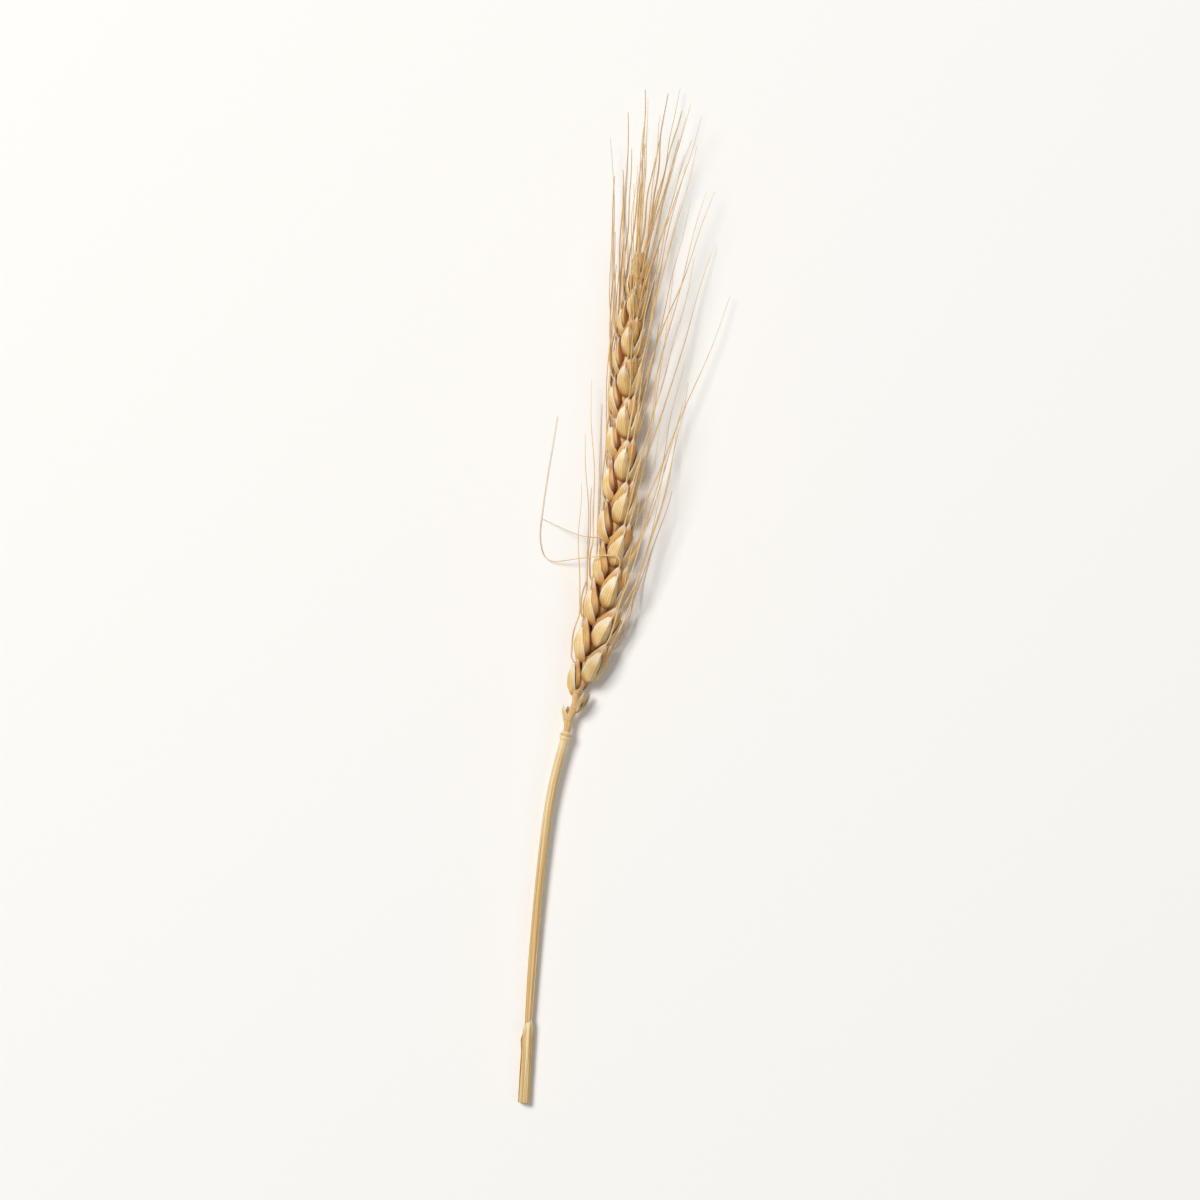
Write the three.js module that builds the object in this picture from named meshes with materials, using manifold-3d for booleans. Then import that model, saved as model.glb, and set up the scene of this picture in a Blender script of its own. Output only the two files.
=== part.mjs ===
// A dried, bearded wheat ear on a cut length of its straw, lying on its side.
// Millimetres and degrees. +Y runs from the cut end of the straw towards the tip of the ear,
// +Z is up, and z = 0 is the surface that the ear lies on.
import * as THREE from "three";
import { mergeVertices } from "three/addons/utils/BufferGeometryUtils.js";
import Module from "manifold-3d";

const wasm = await Module();
wasm.setup();

// Driving dimensions

// Where the collar, the ring between straw and ear, stands in the part's frame.
const collarAt = { x: -12.67, y: -29.97 };

// The line that straw and ear follow, from the cut end to the tip:
// [across from the collar, along from the collar, height above the surface].
const axisPoints = [
  [-9.6, -83, 1.5],
  [-7.4, -48, 1.9],
  [-4.2, -18, 2.7],
  [0, 0, 3.2],
  [5.4, 18, 3.62],
  [9.6, 36, 4.3],
  [12.1, 60, 4.1],
  [13.7, 86, 3.5],
  [17.6, 112, 2.7],
];
const collarPoint = 3; // index of the collar in axisPoints
const axisStepsPerSpan = 100;

const straw = {
  radius: 0.97,
  sheathedRadius: 0.8,
  boreRadius: 0.42,
  boreDepth: 24,
  collarRadius: 1.28,
  collarHeight: 1.5,
  thinsFrom: 14, // above the sheath's mouth the straw starts to thin
  thinsTo: -4,
  sides: 10,
  stations: 12,
};

const sheath = {
  length: 17,
  gap: 0.15,
  thickness: 0.6,
  slit: 50, // the part of the round that the sheath leaves open
  slitFaces: -20, // 0 is to the left, 90 is up
  mouthSlant: 2.4,
  sides: 10,
  steps: 4,
};

const rachis = {
  length: 103, // from the collar to the foot of the topmost spikelet
  gap: 0.3, // between straw and rachis
  footRadius: 1.3,
  tipRadius: 0.8,
  flattening: 0.7,
  zigzag: 0.35,
  sides: 5,
};

const spikelets = {
  count: 23, // in two rows, besides the one at the tip
  roll: { foot: 24, tip: 66 }, // how far the right-hand row is turned up
  crowding: 0.45, // how much closer together they stand towards the foot
  seat: 0.7, // from the middle of the rachis to the root of a spikelet
  flare: { foot: 8, lower: 22, top: 9 },
  pressed: 0.6, // share of its flare that the row on the surface keeps
  size: { foot: 0.38, lower: 1.06, top: 0.84, tip: 0.66 },
  fullFrom: 0.17, // share of the ear that the first, stunted spikelets take up
  fadesFrom: 0.8, // share of the ear above which they shrink towards the tip
  bare: 2, // spikelets at the foot that have glumes only
};

// Husks of a spikelet of full size. lean spreads a husk sideways, facing turns its back
// sideways, and up, aside and out place its root from the spikelet's own root.
const husks = {
  glume: {
    length: 8.2, width: 3.8, outward: 1.3, inward: 0.4, bow: 0.75,
    lean: 12, facing: 52, up: 0, aside: 0.6, out: 0.35,
  },
  lemma: {
    length: 8.9, width: 4, outward: 0.9, inward: 0.5, bow: 0.3,
    lean: 8, facing: 44, up: 1.5, aside: 0.4, out: 0.1,
  },
  floret: {
    length: 8, width: 2.4, outward: 1.2, inward: 0.5, bow: 0.2,
    lean: 0, facing: 0, up: 3, aside: 0, out: 0.5,
  },
};
const huskRootDepth = 1.2;
const huskSides = 5;
// Half outline of a husk: [share of the half width, share of the length].
const huskOutline = [[0, 0], [0.88, 0.22], [0.82, 0.64], [0, 1]];

const awns = {
  length: { foot: 32, middle: 54, tip: 34 },
  lengthStray: 0.12,
  rootRadius: 0.27,
  tipRadius: 0.09,
  rootAt: 0.82, // share of the lemma's length where the awn starts
  bend: 5, // the higher, the sooner an awn turns from its lemma to the ear's direction
  spreadRow: 0.09,
  spreadBroad: 0.11,
  stray: 0.09,
  clearance: 0.2, // lowest height of an awn's middle line
  easing: 0.3,
  props: [[2, 0], [3, -1]], // spikelet and hand of the two awns that the ear leans on
  propClearance: -0.04,
  propDroop: 5,
  sides: 3,
  steps: 3,
  crowding: 1.5, // draws the steps towards the root, where an awn bends most
};

// Awns that are bent aside and lie on the surface, each as a route: [across and along from
// the awn's root, height above the surface].
const strayAwns = [
  {
    spikelet: 7,
    hand: 1,
    route: [[-8.2, 2, 3.4], [-14.9, 2.8, 0.9], [-17.1, 6.9, 0.4], [-16.4, 15.8, 0.4], [-13.3, 35, 0.4]],
  },
  {
    spikelet: 8,
    hand: 1,
    route: [[-5.6, 2.9, 3.4], [-13.8, 6.6, 0.4]],
  },
];
const straySteps = 7;
const strayLead = 2; // length over which a bent awn still follows its lemma

const wobbleSeed = 5.05;
const spikeletTurn = 3; // degrees that the flare of a spikelet may stray by
const huskTurn = 5; // degrees that a husk may stray by
const cleanUp = 0.02; // edges shorter than this are merged after joining
const groundWidth = 400;
const groundDepth = 20;

const strawColour = 0xcfab6c;
const headColour = 0xdcb878;
const sheathColour = 0xdcc184;

// Small helpers

const rad = THREE.MathUtils.degToRad;
const lerp = THREE.MathUtils.lerp;
const skyward = new THREE.Vector3(0, 0, 1);

// A number from -1 to 1 that depends only on the spikelet and on which draw it is.
function wobble(spikelet, draw) {
  const wave = Math.sin(spikelet * 12.9898 + draw * 78.233 + wobbleSeed) * 43758.5453;
  return 2 * (wave - Math.floor(wave)) - 1;
}

function sumOf(...terms) {
  const sum = new THREE.Vector3();
  terms.forEach(([vector, share]) => sum.addScaledVector(vector, share));
  return sum;
}

// Moves every vertex of a geometry by a function of its place.
function reshape(geometry, place) {
  const position = geometry.getAttribute("position");
  const vertex = new THREE.Vector3();
  for (let i = 0; i < position.count; i++) {
    const moved = place(vertex.fromBufferAttribute(position, i));
    position.setXYZ(i, moved.x, moved.y, moved.z);
  }
  return geometry;
}

function solidOf(geometry) {
  const bare = geometry.clone();
  bare.deleteAttribute("normal");
  bare.deleteAttribute("uv");
  const merged = mergeVertices(bare, 1e-4);
  const mesh = new wasm.Mesh({
    numProp: 3,
    vertProperties: new Float32Array(merged.getAttribute("position").array),
    triVerts: new Uint32Array(merged.index.array),
  });
  return new wasm.Manifold(mesh);
}

function geometryOf(solid) {
  const mesh = solid.getMesh();
  const geometry = new THREE.BufferGeometry();
  geometry.setAttribute("position", new THREE.BufferAttribute(mesh.vertProperties, 3));
  geometry.setIndex(new THREE.BufferAttribute(mesh.triVerts, 1));
  geometry.computeVertexNormals();
  return geometry;
}

// What lies under the surface is cut away, which leaves small flats to rest on.
function cutAtSurface(solid) {
  const ground = new THREE.BoxGeometry(groundWidth, groundWidth, groundDepth);
  ground.translate(0, 0, -groundDepth / 2);
  return solid.subtract(solidOf(ground));
}

// The axis of straw and ear

const axis = new THREE.CatmullRomCurve3(
  axisPoints.map(([x, y, z]) => new THREE.Vector3(x + collarAt.x, y + collarAt.y, z)),
  false,
  "catmullrom",
);
axis.arcLengthDivisions = axisStepsPerSpan * (axisPoints.length - 1);
const axisLength = axis.getLength();
const strawLength = axis.getLengths()[collarPoint * axisStepsPerSpan];

// From the foot of the ear to its tip, which all awns tend towards.
const earDirection = axis.getPointAt(1).sub(axis.getPointAt(strawLength / axisLength)).normalize();

// Place and directions at a length along the axis, with across to the right and over upwards.
function axisAt(length) {
  const share = length / axisLength;
  const along = axis.getTangentAt(share);
  const across = new THREE.Vector3().crossVectors(along, skyward).normalize();
  const over = new THREE.Vector3().crossVectors(across, along);
  return { point: axis.getPointAt(share), along, across, over };
}

// The same in the ear, where row points to the right-hand row and broad across the rows.
function earAt(share) {
  const { point, along, across, over } = axisAt(strawLength + rachis.length * share);
  const roll = rad(lerp(spikelets.roll.foot, spikelets.roll.tip, share));
  const row = sumOf([across, Math.cos(roll)], [over, Math.sin(roll)]);
  const broad = sumOf([over, Math.cos(roll)], [across, -Math.sin(roll)]);
  return { point, along, row, broad };
}

// Straw: a hollow culm that ends in a collar

function strawRadius(length) {
  const mouth = sheath.length;
  const bare = THREE.MathUtils.smoothstep(length, mouth + straw.thinsTo, mouth + straw.thinsFrom);
  return lerp(straw.sheathedRadius, straw.radius, bare);
}

function makeStraw() {
  const shaft = strawLength - straw.collarHeight;
  const outline = [
    [0, straw.boreDepth],
    [straw.boreRadius, straw.boreDepth],
    [straw.boreRadius, 0],
  ];
  for (let i = 0; i <= straw.stations; i++) {
    const length = (shaft * i) / straw.stations;
    outline.push([strawRadius(length), length]);
  }
  outline.push(
    [straw.collarRadius, shaft + 0.4 * straw.collarHeight],
    [straw.collarRadius, shaft + 0.75 * straw.collarHeight],
    [straw.radius, strawLength - rachis.gap / 2],
    [0, strawLength - rachis.gap / 2],
  );
  const points = outline.map(([radius, length]) => new THREE.Vector2(radius, length));
  return reshape(new THREE.LatheGeometry(points, straw.sides), (vertex) => {
    const at = axisAt(vertex.y);
    return sumOf([at.point, 1], [at.across, vertex.x], [at.over, vertex.z]);
  });
}

// Leaf sheath: a blade rolled round the straw, open along one side, with a slanting mouth

function makeSheath() {
  const inner = straw.sheathedRadius + sheath.gap;
  const outer = inner + sheath.thickness;
  const from = rad(sheath.slitFaces + sheath.slit / 2);
  const to = rad(sheath.slitFaces + 360 - sheath.slit / 2);
  const section = new THREE.Shape();
  section.absarc(0, 0, outer, from, to, false);
  section.absarc(0, 0, inner, to, from, true);
  const rolled = new THREE.ExtrudeGeometry(section, {
    depth: 1,
    steps: sheath.steps,
    curveSegments: sheath.sides,
    bevelEnabled: false,
  });
  const bent = reshape(rolled, ({ x, y, z }) => {
    const slant = (sheath.mouthSlant / 2) * (y / outer);
    const at = axisAt(z * (sheath.length + slant));
    return sumOf([at.point, 1], [at.across, -x], [at.over, y]);
  });
  return geometryOf(cutAtSurface(solidOf(bent)));
}

// Head: rachis, husks and awns, grown together

// Share of the ear's length at which a spikelet stands, from its share of the count.
function shareAt(order) {
  return order - spikelets.crowding * order * (1 - order) ** 3;
}

// The rachis steps from side to side, towards each spikelet that it bears.
function makeRachis() {
  const { footRadius, tipRadius, sides, gap, length, flattening } = rachis;
  const rings = spikelets.count + 1;
  const stick = new THREE.CylinderGeometry(tipRadius, footRadius, 1, sides, rings);
  return reshape(stick, ({ x, y, z }) => {
    const node = Math.round((y + 0.5) * rings);
    const share = Math.max(shareAt(node / rings), gap / 2 / length);
    const away = node === 0 ? 0 : rachis.zigzag * (node % 2 ? -1 : 1);
    const at = earAt(share);
    return sumOf([at.point, 1], [at.row, x * flattening + away], [at.broad, z]);
  });
}

// How large the spikelet at a share of the ear's length is, against one of full size.
function sizeAt(share) {
  const { foot, lower, top, tip } = spikelets.size;
  const grown = THREE.MathUtils.smoothstep(share, 0, spikelets.fullFrom);
  const faded = THREE.MathUtils.smoothstep(share, spikelets.fadesFrom, 1);
  return lerp(foot, lerp(lerp(lower, top, share), tip, faded), grown);
}

function flareAt(share) {
  const { foot, lower, top } = spikelets.flare;
  const settled = THREE.MathUtils.smoothstep(share, 0, spikelets.fullFrom);
  return lerp(foot, lerp(lower, top, share), settled);
}

function awnLengthAt(share) {
  const { foot, middle, tip } = awns.length;
  const hump = 4 * share * (1 - share);
  return lerp(lerp(foot, tip, share), middle, hump);
}

// Root and directions of one spikelet: ahead along it, outward from the ear, broad across it.
function spikeletAt(index) {
  const share = shareAt((index + 1) / (spikelets.count + 1));
  const atTip = index === spikelets.count;
  const { point, along, row, broad } = earAt(share);
  const side = index % 2 ? 1 : -1;
  const spread = flareAt(share) * (side > 0 ? 1 : spikelets.pressed);
  const flare = atTip ? 0 : rad(spread + spikeletTurn * wobble(index, 1));
  const twist = rad(huskTurn * wobble(index, 2));
  const ahead = sumOf([along, Math.cos(flare)], [row, side * Math.sin(flare)]);
  const straightOut = sumOf([row, side * Math.cos(flare)], [along, -Math.sin(flare)]);
  const outward = sumOf([straightOut, Math.cos(twist)], [broad, Math.sin(twist)]);
  const sideways = sumOf([broad, Math.cos(twist)], [straightOut, -Math.sin(twist)]);
  const root = sumOf([point, 1], [row, atTip ? 0 : side * spikelets.seat]);
  return { index, share, side, root, ahead, outward, sideways, row, broad, size: sizeAt(share) };
}

// Root and directions of one husk. hand is 1 or -1 for the two sides of the spikelet, 0 for its middle.
function huskAt(spikelet, kind, hand) {
  const { index, size, root, ahead, outward, sideways } = spikelet;
  const draw = 3 + 2 * hand + (kind === husks.glume ? 10 : 20);
  const lean = rad(kind.lean * hand + huskTurn * wobble(index, draw));
  const facing = rad(kind.facing * hand + huskTurn * wobble(index, draw + 1));
  const length = sumOf([ahead, Math.cos(lean)], [sideways, Math.sin(lean)]);
  const facingTo = sumOf([outward, Math.cos(facing)], [sideways, Math.sin(facing)]);
  const back = facingTo.addScaledVector(length, -facingTo.dot(length)).normalize();
  const width = new THREE.Vector3().crossVectors(length, back);
  const foot = sumOf(
    [root, 1],
    [ahead, kind.up * size],
    [sideways, kind.aside * hand * size],
    [outward, kind.out * size],
    [length, -huskRootDepth],
  );
  return { foot, length, width, back, size, kind };
}

function makeHusk({ foot, length, width, back, size, kind }) {
  const outline = huskOutline.map(([radius, share]) => new THREE.Vector2(radius, share));
  return reshape(new THREE.LatheGeometry(outline, huskSides), ({ x, y, z }) => {
    const depth = z * (z > 0 ? kind.outward : kind.inward) + kind.bow * Math.sin(Math.PI * y);
    return sumOf(
      [foot, 1],
      [width, (x * kind.width * size) / 2],
      [length, y * kind.length * size],
      [back, depth * size],
    );
  });
}

function awnRoot(husk) {
  return sumOf([husk.foot, 1], [husk.length, awns.rootAt * husk.kind.length * husk.size]);
}

// The middle line of an awn: it sets out along its lemma, bends to the ear's own direction,
// and lies along the surface where it would pass below it.
function awnLine(spikelet, husk, hand) {
  const { index, side, share, row, broad } = spikelet;
  const draw = 40 + 5 * hand;
  const { bend, spreadRow, spreadBroad, stray, easing, props } = awns;
  const isProp = props.some(([atIndex, atHand]) => atIndex === index && atHand === hand);
  const clearance = isProp ? awns.propClearance : awns.clearance;
  const droop = isProp ? awns.propDroop : 0;
  const start = husk.length;
  const end = sumOf(
    [earDirection, 1],
    [row, side * spreadRow + stray * wobble(index, draw)],
    [broad, hand * spreadBroad + stray * wobble(index, draw + 1)],
  ).normalize();
  const reach = awnLengthAt(share) * (1 + awns.lengthStray * wobble(index, draw + 2));
  const root = awnRoot(husk);
  return (t) => {
    const straight = (1 - (1 - t) ** bend) / bend;
    const point = sumOf([root, 1], [start, reach * straight], [end, reach * (t - straight)]);
    const rise = point.z - droop * t * t - clearance;
    point.z = clearance + (rise + Math.hypot(rise, easing * t)) / 2;
    return point;
  };
}

function strayLine(husk, route) {
  const root = awnRoot(husk);
  const lead = sumOf([root, 1], [husk.length, strayLead]);
  const rest = route.map(([across, along, z]) => new THREE.Vector3(root.x + across, root.y + along, z));
  const curve = new THREE.CatmullRomCurve3([root, lead, ...rest]);
  return (t) => curve.getPoint(THREE.MathUtils.clamp(t, 0, 1));
}

function makeAwn(line, steps) {
  const { rootRadius, tipRadius, sides, crowding } = awns;
  const needle = new THREE.CylinderGeometry(tipRadius, rootRadius, 1, sides, steps);
  const nudge = 0.01;
  return reshape(needle, ({ x, y, z }) => {
    const t = (y + 0.5) ** crowding;
    const point = line(t);
    const along = line(t + nudge).sub(line(t - nudge)).normalize();
    const across = new THREE.Vector3().crossVectors(along, skyward).normalize();
    const over = new THREE.Vector3().crossVectors(across, along);
    return sumOf([point, 1], [across, x], [over, z]);
  });
}

function spikeletPieces(index) {
  const spikelet = spikeletAt(index);
  const pieces = [-1, 1].map((hand) => makeHusk(huskAt(spikelet, husks.glume, hand)));
  if (index < spikelets.bare) return pieces;
  for (const hand of [-1, 0, 1]) {
    const husk = huskAt(spikelet, hand ? husks.lemma : husks.floret, hand);
    pieces.push(makeHusk(husk));
    const stray = strayAwns.find((awn) => awn.spikelet === index && awn.hand === hand);
    pieces.push(
      stray
        ? makeAwn(strayLine(husk, stray.route), straySteps)
        : makeAwn(awnLine(spikelet, husk, hand), awns.steps),
    );
  }
  return pieces;
}

function makeHead() {
  let head = solidOf(makeRachis());
  for (let index = 0; index <= spikelets.count; index++) {
    for (const piece of spikeletPieces(index)) head = head.add(solidOf(piece));
  }
  const bodies = cutAtSurface(head).simplify(cleanUp).decompose();
  // The largest body is the head; the rest are sealed hollows between husks, which are filled.
  return geometryOf(bodies.reduce((a, b) => (a.volume() > b.volume() ? a : b)));
}

// The part

function piece(name, geometry, colour, roughness) {
  const material = new THREE.MeshStandardMaterial({ color: colour, roughness, metalness: 0 });
  const mesh = new THREE.Mesh(geometry, material);
  mesh.name = name;
  return mesh;
}

const wheatEar = new THREE.Group();
wheatEar.add(piece("head", makeHead(), headColour, 0.55));
wheatEar.add(piece("straw", makeStraw(), strawColour, 0.45));
wheatEar.add(piece("leaf_sheath", makeSheath(), sheathColour, 0.6));

export default wheatEar;
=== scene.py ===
import math
import bpy
import numpy as np
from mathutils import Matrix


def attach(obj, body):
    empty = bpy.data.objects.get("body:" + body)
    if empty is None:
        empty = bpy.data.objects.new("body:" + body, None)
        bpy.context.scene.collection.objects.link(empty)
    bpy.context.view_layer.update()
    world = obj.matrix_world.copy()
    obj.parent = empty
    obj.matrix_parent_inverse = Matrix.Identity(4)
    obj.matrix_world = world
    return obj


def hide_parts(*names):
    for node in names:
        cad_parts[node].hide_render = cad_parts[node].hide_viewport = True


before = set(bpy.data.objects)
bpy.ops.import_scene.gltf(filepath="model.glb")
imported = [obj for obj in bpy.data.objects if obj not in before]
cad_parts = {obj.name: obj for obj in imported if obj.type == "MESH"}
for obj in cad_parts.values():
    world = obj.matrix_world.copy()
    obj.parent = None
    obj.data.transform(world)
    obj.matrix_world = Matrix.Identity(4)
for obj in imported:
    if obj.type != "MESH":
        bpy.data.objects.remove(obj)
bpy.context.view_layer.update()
print("frame loaded:", ", ".join(sorted(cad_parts)))

# the plant is in millimetres and degrees, and turns to metres when a mesh is made
mm = 0.001
fullTurn = 2 * math.pi
skyward = np.array([0.0, 0.0, 1.0])

# line of straw and ear: across and along from the collar, height above the floor
axisLine = {
    "collarAt": (-12.67, -29.97),
    "points": [
        (-9.6, -83, 1.5), (-7.4, -48, 1.9), (-4.2, -18, 2.7),
        (0, 0, 3.2),
        (5.4, 18, 3.62), (9.6, 36, 4.3), (12.1, 60, 4.1), (13.7, 86, 3.5), (17.6, 112, 2.7),
    ],
    "collarPoint": 3,
    "stepsPerSpan": 100,
    "nudge": 1e-4,  # step that gives the line's direction
}

knots = np.array(axisLine["points"], float)
knots[:, :2] += axisLine["collarAt"]


def unit(vectors):
    return vectors / np.linalg.norm(vectors, axis=-1, keepdims=True)


def through(points, t):  # smooth curve through the points
    spans = len(points) - 1
    wide = np.vstack([2 * points[0] - points[1], points, 2 * points[-1] - points[-2]])
    place = np.clip(np.asarray(t, float), 0, 1) * spans
    span = np.minimum(place.astype(int), spans - 1)
    w = (place - span)[..., None]
    before, start, end, after = (wide[span + k] for k in range(4))
    leave, arrive = 0.5 * (end - before), 0.5 * (after - start)
    square = 3 * (end - start) - 2 * leave - arrive
    cube = 2 * (start - end) + leave + arrive
    return start + leave * w + square * w ** 2 + cube * w ** 3


def onAxis(t):
    return through(knots, t)


tTable = np.linspace(0, 1, axisLine["stepsPerSpan"] * (len(knots) - 1) + 1)
stepLengths = np.linalg.norm(np.diff(onAxis(tTable), axis=0), axis=1)
lengthTable = np.concatenate([[0], np.cumsum(stepLengths)])
strawLength = lengthTable[axisLine["collarPoint"] * axisLine["stepsPerSpan"]]
earDirection = unit(onAxis(1.0) - knots[axisLine["collarPoint"]])


def axisAt(length):  # point on the line, and the directions along, across and over it
    t = np.interp(length, lengthTable, tTable)
    along = unit(onAxis(t + axisLine["nudge"]) - onAxis(t - axisLine["nudge"]))
    across = unit(np.cross(along, skyward))
    return onAxis(t), along, across, np.cross(across, along)


def lerp(a, b, share):
    return a + (b - a) * share


def smooth(value, low, high):
    share = np.clip((value - low) / (high - low), 0, 1)
    return share * share * (3 - 2 * share)


def bell(value, centre, spread):
    return np.exp(-((value - centre) / spread) ** 2)


def wobble(spikelet, draw):  # -1 to 1, the same for the same spikelet and draw
    wave = math.sin(spikelet * 12.9898 + draw * 78.233 + ear["wobbleSeed"]) * 43758.5453
    return 2 * (wave - math.floor(wave)) - 1


def sway(values, seed, turns=(1, 2, 3, 5)):  # gentle seeded wave over an array, about -1 to 1
    dice = np.random.default_rng(seed)
    return sum(np.sin(fullTurn * (k * values + dice.random())) / k ** 0.7 for k in turns) / 2


def aboveFloor(points, height=0.02):
    points[..., 2] = np.maximum(points[..., 2], height)
    return points


def circle(columns):  # angles round a tube
    return np.linspace(0, fullTurn, columns, endpoint=False)[None, :]


def ringsRound(middle, right, up, x, z):
    return middle[:, None] + right[..., None, :] * x[..., None] + up[..., None, :] * z[..., None]


def bothSkins(outer, inner):  # the inner skin runs back to the first edge
    return np.concatenate([outer, inner[:, -2:0:-1]], axis=1)


def sampled(at, t, values):  # values given at t, read at other places
    return np.stack([np.interp(at, t, column) for column in values.T], axis=1)


# shader sheet: wires carry sockets, and arithmetic on wires adds nodes


class Wire:
    def __init__(self, paint, socket):
        self.paint, self.socket = paint, socket

    def maths(self, operation, other=0.0, swapped=False):
        first, second = (other, self) if swapped else (self, other)
        return self.paint.add("ShaderNodeMath", {"operation": operation}, {0: first, 1: second})

    def __add__(self, other):
        return self.maths("ADD", other)

    def __radd__(self, other):
        return self.maths("ADD", other, True)

    def __sub__(self, other):
        return self.maths("SUBTRACT", other)

    def __rsub__(self, other):
        return self.maths("SUBTRACT", other, True)

    def __mul__(self, other):
        return self.maths("MULTIPLY", other)

    def __rmul__(self, other):
        return self.maths("MULTIPLY", other, True)

    def __pow__(self, other):
        return self.maths("POWER", other)

    def __abs__(self):
        return self.maths("ABSOLUTE")

    def step(self, low, high):  # 0 below low, 1 above high, smooth between
        settings = {"interpolation_type": "SMOOTHSTEP"}
        return self.paint.add("ShaderNodeMapRange", settings, {0: self, 1: low, 2: high})


class Paint:
    def __init__(self, name, **constants):
        self.material = bpy.data.materials.new(name)
        self.material.use_nodes = True
        self.tree = self.material.node_tree
        self.tree.nodes.clear()
        self.shader = self.add("ShaderNodeBsdfPrincipled", {}, constants)
        self.add("ShaderNodeOutputMaterial", {}, {"Surface": self.shader})

    def add(self, kind, settings, values, out=0):
        node = self.tree.nodes.new(kind)
        for key, value in settings.items():
            setattr(node, key, value)
        for key, value in values.items():
            self.plug(node.inputs[key], value)
        return Wire(self, node.outputs[out]) if node.outputs else None

    def plug(self, socket, value):
        if isinstance(value, Wire):
            self.tree.links.new(value.socket, socket)
        else:
            socket.default_value = value

    def feed(self, **values):
        for name, value in values.items():
            self.plug(self.shader.socket.node.inputs[name.replace("_", " ")], value)
        return self.material

    def marks(self, *names):
        kind = "ShaderNodeAttribute"
        return [self.add(kind, {"attribute_name": name}, {}, out=2) for name in names]

    def noise(self, place, scale, detail, rough=0.55):
        at = self.add("ShaderNodeCombineXYZ", {}, dict(enumerate(place)))
        values = {"Vector": at, "Scale": scale, "Detail": detail, "Roughness": rough}
        return self.add("ShaderNodeTexNoise", {}, values)

    def mix(self, share, first, second):
        settings = {"data_type": "RGBA", "clamp_factor": True}
        return self.add("ShaderNodeMix", settings, {0: share, 6: first, 7: second}, out=2)

    def coats(self, body, *coats):  # share and colour of each coat, laid one over the other
        for share, colour in coats:
            body = self.mix(share, body, colour)
        return body

    def bump(self, height, strength, distance):
        values = {"Height": height, "Strength": strength, "Distance": distance}
        return self.add("ShaderNodeBump", {}, values)


def tone(code):  # screen colour such as "e0c088" as linear light
    screen = [int(code[k:k + 2], 16) / 255 for k in (0, 2, 4)]
    light = [c / 12.92 if c < 0.04045 else ((c + 0.055) / 1.055) ** 2.4 for c in screen]
    return (*light, 1.0)


def tones(**codes):
    return {name: tone(code) for name, code in codes.items()}


def intoScene(name, data):
    added = bpy.data.objects.new(name, data)
    bpy.context.scene.collection.objects.link(added)
    return added


# mesh pile: gathers closed tubes and small spikes, with marks for the shaders


class Pile:
    def __init__(self, *builders):
        self.points, self.faces, self.marks, self.count = [], [], {}, 0
        for build in builders:
            build(self)

    def keep(self, points, marks):
        for name, values in marks.items():
            full = np.broadcast_to(values, points.shape[:2])
            self.marks.setdefault(name, []).append(full.ravel())
        self.points.append(aboveFloor(points).reshape(-1, 3))
        self.count += len(self.points[-1])

    def tube(self, rings, **marks):
        rows, columns = rings.shape[:2]
        index = np.arange(rows * columns).reshape(rows, columns) + self.count
        beside = np.roll(index, -1, axis=1)
        quads = np.stack([index[:-1], beside[:-1], beside[1:], index[1:]], axis=-1)
        self.faces += quads.reshape(-1, 4).tolist()
        self.faces += [index[0, ::-1].tolist(), index[-1].tolist()]
        self.keep(rings, marks)

    def spikes(self, corners, tips, **marks):  # corners: n x 3 x 3, tips: n x 3
        n = len(tips)
        index = np.arange(n * 4).reshape(n, 4) + self.count
        for pick in ((0, 1, 3), (1, 2, 3), (2, 0, 3), (0, 2, 1)):
            self.faces += index[:, pick].tolist()
        marks = {name: np.reshape(values, (-1, 1)) for name, values in marks.items()}
        self.keep(np.concatenate([corners, tips[:, None]], axis=1), marks)

    def make(self, name, material, node):
        mesh = bpy.data.meshes.new(name)
        mesh.from_pydata((np.concatenate(self.points) * mm).tolist(), [], self.faces)
        for mark, values in self.marks.items():
            layer = mesh.attributes.new(mark, "FLOAT", "POINT")
            layer.data.foreach_set("value", np.concatenate(values).astype(np.float32))
        mesh.polygons.foreach_set("use_smooth", [True] * len(mesh.polygons))
        mesh.materials.append(material)
        mesh.update()
        piece = intoScene(name, mesh)
        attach(piece, "root")
        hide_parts(node)
        print(f"made {name}: {len(mesh.polygons)} faces")


# ear: places and directions of spikelets and husks

ear = {
    "spikelets": 23,  # and one more at the tip
    "rachisLength": 103,
    "roll": (24, 66),  # turn of the rows about the rachis, at the foot and at the tip
    "crowding": 0.45,
    "flare": {"foot": 8, "lower": 22, "top": 9},
    "pressed": 0.6,  # share of its flare that the row on the floor keeps
    "size": {"foot": 0.38, "lower": 1.06, "top": 0.84, "tip": 0.66},
    "fullFrom": 0.17, "fadesFrom": 0.8,
    "bare": 2,  # the first spikelets have glumes only
    "seat": 0.7, "rootDepth": 1.2,
    "turn": 5, "flareTurn": 3, "wobbleSeed": 5.05,  # how far husks and spikelets stray
    "claw": 2.2, "clawSizes": (0.4, 0.6),  # how far the first, stunted husks curl
    "stunted": {"right": 0.45, "left": 0.85},  # share of their width that the smallest husks keep
    "stuntedSizes": (0.45, 0.75),
    "lowest": (0.1, 0.15), "lowestStretch": 1.2,  # the lowest husks are slender
    "shelter": (1.7, 3.6),  # distance from the rachis over which husks turn from orange to pale: partly their own warmer inner tone, partly painted shade near the rachis
    "tipFrom": 0.86, "tipInnerToneAndShade": 0.2,  # husks at the tip are less orange, with less of the inner tone and painted shade
    # weathered grey: over which shares of the ear, how much in each row, and sizes of dead husks
    "worn": {"over": (0.05, 0.3), "right": 0.75, "left": 0.2, "stray": 0.12, "dead": (0.5, 0.75)},
}
nodeCount = ear["spikelets"] + 1


def shareAt(order):  # spikelets stand closer together towards the foot
    return order - ear["crowding"] * order * (1 - order) ** 3


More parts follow.
